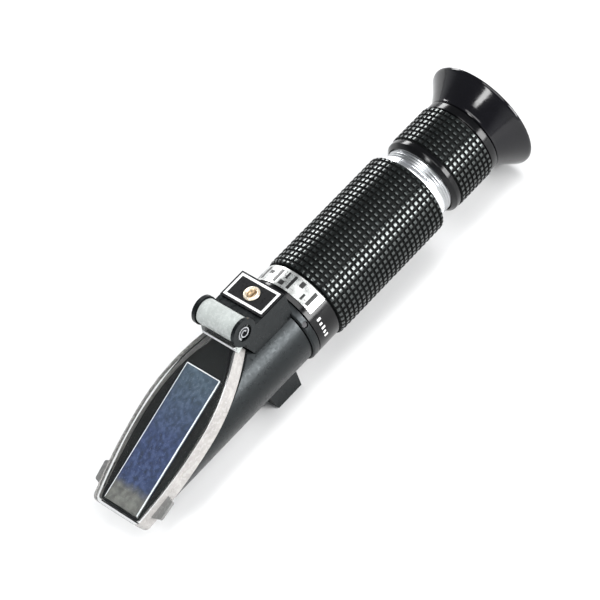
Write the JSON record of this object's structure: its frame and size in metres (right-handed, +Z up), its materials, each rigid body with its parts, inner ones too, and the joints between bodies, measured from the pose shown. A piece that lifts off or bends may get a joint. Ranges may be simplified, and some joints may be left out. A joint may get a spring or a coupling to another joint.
{
  "type": "handheld refractometer",
  "caption": "Handheld refractometer: a sloping measuring prism under a hinged clear daylight plate, a tube with a calibration screw, and a screw-focused eyepiece with a rubber eyecup.",
  "frame": {"origin": "on the ground plane under the middle of the bounding box, with the instrument standing on its foot and its eyecup", "axes": "+X along the optical axis from the prism towards the eye, +Z up, +Y to the far side when the prism is on the left"},
  "size_m": [0.1674, 0.038, 0.0438],
  "materials": {
    "housing_black": "satin black stove enamel on a die-cast aluminium alloy body",
    "prism_glass": "polished optical glass, blue inside, fine ground edges",
    "plate_acrylic": "clear moulded acrylic, bright edges, slightly milky at the knuckle",
    "bed_steel": "plain sheet steel",
    "pin_steel": "rolled spring steel strip",
    "plate_black": "gloss black printed plate with a white border line",
    "brass": "turned brass, bright",
    "anodised_black": "black anodised aluminium, satin",
    "optic_glass": "polished optical glass",
    "bimetal": "rolled bimetal strip",
    "spring_steel": "blued spring steel strip",
    "screw_steel": "blackened steel grub screws",
    "silver_foil": null,
    "rubber_grip": "moulded black rubber, knurled in small square pyramids",
    "chrome": "polished chrome plate",
    "rubber_black": "smooth black rubber",
    "eyecup_rubber": "smooth soft black rubber with a slight gloss"
  },
  "bodies": {
    "optical_body": {"prism_housing": "housing_black", "measuring_prism": "prism_glass", "prism_bed": "bed_steel", "hinge_pin": "pin_steel", "calibration_plate": "plate_black", "calibration_bush": "brass", "carrier_spring": "spring_steel", "lock_ring": "anodised_black", "lock_screw_1": "screw_steel", "lock_screw_2": "screw_steel", "lock_screw_3": "screw_steel", "tube_seal": "rubber_black", "main_tube": "anodised_black", "band_label": "silver_foil", "grip_sleeve": "rubber_grip", "aperture_stop": "anodised_black", "reticle_holder": "anodised_black", "reticle_disc": "optic_glass", "reticle_clamp": "brass", "end_ring": "chrome", "eyepiece_tube": "chrome", "guide_key": "screw_steel", "eyepiece_seal": "rubber_black"},
    "daylight_plate": {"daylight_plate": "plate_acrylic"},
    "calibration_screw": {"calibration_screw": "brass"},
    "objective": {"lens_carrier": "anodised_black", "bimetal_strip_top": "bimetal", "bimetal_strip_bottom": "bimetal", "objective_cell": "anodised_black", "objective_lens": "optic_glass"},
    "lens_barrel": {"lens_barrel": "anodised_black", "field_lens": "optic_glass", "lens_spacer": "anodised_black", "eye_lens": "optic_glass", "eye_lens_clamp": "anodised_black", "barrel_circlip": "spring_steel"},
    "focus_ring": {"focus_ring": "anodised_black", "focus_ring_grip": "rubber_grip", "eyecup": "eyecup_rubber"}
  },
  "joints": [
    {"name": "plate_hinge", "type": "hinge", "parent": "optical_body", "child": "daylight_plate", "pos_m": [-0.02656, 0, 0.0393], "axis": [0, 1, 0], "range_deg": [0, 200]},
    {"name": "calibration_turn", "type": "hinge", "parent": "optical_body", "child": "calibration_screw", "pos_m": [-0.01454, 0, 0.0335], "axis": [0, 0, 1], "range_deg": [-271, 271]},
    {"name": "objective_slide", "type": "slide", "parent": "optical_body", "child": "objective", "axis": [0, 0, 1], "range_m": [-0.0003, 0.0003], "deforming": ["carrier_spring"]},
    {"name": "focus_slide", "type": "slide", "parent": "optical_body", "child": "lens_barrel", "axis": [1, 0, 0], "range_m": [-0.00351, 0.00251]},
    {"name": "focus_turn", "type": "hinge", "parent": "lens_barrel", "child": "focus_ring", "pos_m": [0.06409, 0, 0.019], "axis": [1, 0, 0], "range_deg": [-210, 150]}
  ],
  "couplings": [
    {"joint": "calibration_turn", "follows": "objective_slide", "rad_per_m": 15708},
    {"joint": "focus_slide", "follows": "focus_turn", "m_per_rad": 0.00095493}
  ]
}
